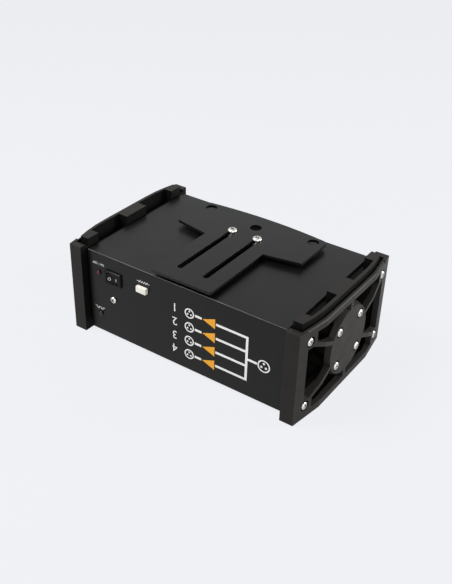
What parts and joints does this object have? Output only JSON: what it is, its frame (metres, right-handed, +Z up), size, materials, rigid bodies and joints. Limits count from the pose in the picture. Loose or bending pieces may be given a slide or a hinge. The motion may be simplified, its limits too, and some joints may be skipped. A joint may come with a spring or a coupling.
{
  "type": "lighting signal splitter",
  "caption": "Black sheet-steel box between moulded lattice end caps, with a sliding T-shaped hanging plate on top, a rocker switch and push button in front and round sockets behind.",
  "frame": {"origin": "on the surface the part stands on, under the middle of the box", "axes": "+X along the box towards the cap on the viewer's right, +Y from the control wall to the socket wall, +Z up"},
  "size_m": [0.2742, 0.169, 0.1043],
  "materials": {
    "powder_black": "fine-textured black powder coat",
    "moulded_black": "fine-grained black moulding",
    "bright_steel": "bright nickel-plated steel",
    "zinc_steel": "dull zinc-plated steel",
    "gloss_black": "smooth black plastic",
    "cream_plastic": "cream plastic, slightly worn",
    "red_lens": "tinted red lens, unlit",
    "smoked_lens": "smoked lens, unlit",
    "plain_aluminium": "mill finish",
    "nickel": "satin nickel on die casting",
    "board_green": "solder mask",
    "core_steel": "varnished laminations"
  },
  "bodies": {
    "chassis": {"chassis_shell": "powder_black", "base_tray": "powder_black", "end_cap_left": "moulded_black", "end_cap_right": "moulded_black", "corner_screw_left_1": "bright_steel", "corner_screw_left_2": "bright_steel", "corner_screw_left_3": "bright_steel", "corner_screw_left_4": "bright_steel", "corner_screw_right_1": "bright_steel", "corner_screw_right_2": "bright_steel", "corner_screw_right_3": "bright_steel", "corner_screw_right_4": "bright_steel", "disc_screw_left_1": "bright_steel", "disc_screw_left_2": "bright_steel", "disc_screw_left_3": "bright_steel", "disc_screw_left_4": "bright_steel", "disc_screw_right_1": "bright_steel", "disc_screw_right_2": "bright_steel", "disc_screw_right_3": "bright_steel", "disc_screw_right_4": "bright_steel", "bracket_screw_left": "bright_steel", "bracket_screw_right": "bright_steel", "bracket_spacer_left": "zinc_steel", "bracket_spacer_right": "zinc_steel", "bracket_nut_left": "zinc_steel", "bracket_nut_right": "zinc_steel", "switch_housing": "gloss_black", "button_housing": "gloss_black", "power_lamp": "red_lens", "signal_lamp": "smoked_lens", "panel_screw": "bright_steel", "panel_nut": "zinc_steel", "regulator_angle": "plain_aluminium", "socket_shell_in": "nickel", "socket_shell_link": "nickel", "socket_shell_out_1": "nickel", "socket_shell_out_2": "nickel", "socket_shell_out_3": "nickel", "socket_shell_out_4": "nickel", "socket_insert_in": "gloss_black", "socket_insert_link": "gloss_black", "socket_insert_out_1": "gloss_black", "socket_insert_out_2": "gloss_black", "socket_insert_out_3": "gloss_black", "socket_insert_out_4": "gloss_black", "inlet_housing": "gloss_black", "main_board": "board_green", "transformer": "core_steel", "socket_board": "board_green"},
    "bracket": {"mount_bracket": "powder_black"},
    "rocker": {"switch_rocker": "gloss_black"},
    "button": {"link_button": "cream_plastic"},
    "drawer": {"fuse_drawer": "gloss_black"},
    "latch_of_link": {"latch_link": "nickel"},
    "latch_of_out_1": {"latch_out_1": "nickel"},
    "latch_of_out_2": {"latch_out_2": "nickel"},
    "latch_of_out_3": {"latch_out_3": "nickel"},
    "latch_of_out_4": {"latch_out_4": "nickel"}
  },
  "joints": [
    {"name": "bracket_slide", "type": "slide", "parent": "chassis", "child": "bracket", "axis": [0, 1, 0], "range_m": [0, 0.0855]},
    {"name": "switch_tilt", "type": "hinge", "parent": "chassis", "child": "rocker", "pos_m": [-0.0814, -0.0768, 0.0718], "axis": [0, 0, 1], "range_deg": [-24, 0]},
    {"name": "button_press", "type": "slide", "parent": "chassis", "child": "button", "axis": [0, 1, 0], "range_m": [0, 0.002], "stiffness_N_per_m": 300, "springref_m": -0.002},
    {"name": "drawer_pull", "type": "slide", "parent": "chassis", "child": "drawer", "axis": [0, 1, 0], "range_m": [0, 0.012]},
    {"name": "latch_press_link", "type": "slide", "parent": "chassis", "child": "latch_of_link", "axis": [0, -1, 0], "range_m": [0, 0.0009], "stiffness_N_per_m": 800, "springref_m": -0.001},
    {"name": "latch_press_out_1", "type": "slide", "parent": "chassis", "child": "latch_of_out_1", "axis": [0, -1, 0], "range_m": [0, 0.0009], "stiffness_N_per_m": 800, "springref_m": -0.001},
    {"name": "latch_press_out_2", "type": "slide", "parent": "chassis", "child": "latch_of_out_2", "axis": [0, -1, 0], "range_m": [0, 0.0009], "stiffness_N_per_m": 800, "springref_m": -0.001},
    {"name": "latch_press_out_3", "type": "slide", "parent": "chassis", "child": "latch_of_out_3", "axis": [0, -1, 0], "range_m": [0, 0.0009], "stiffness_N_per_m": 800, "springref_m": -0.001},
    {"name": "latch_press_out_4", "type": "slide", "parent": "chassis", "child": "latch_of_out_4", "axis": [0, -1, 0], "range_m": [0, 0.0009], "stiffness_N_per_m": 800, "springref_m": -0.001}
  ]
}
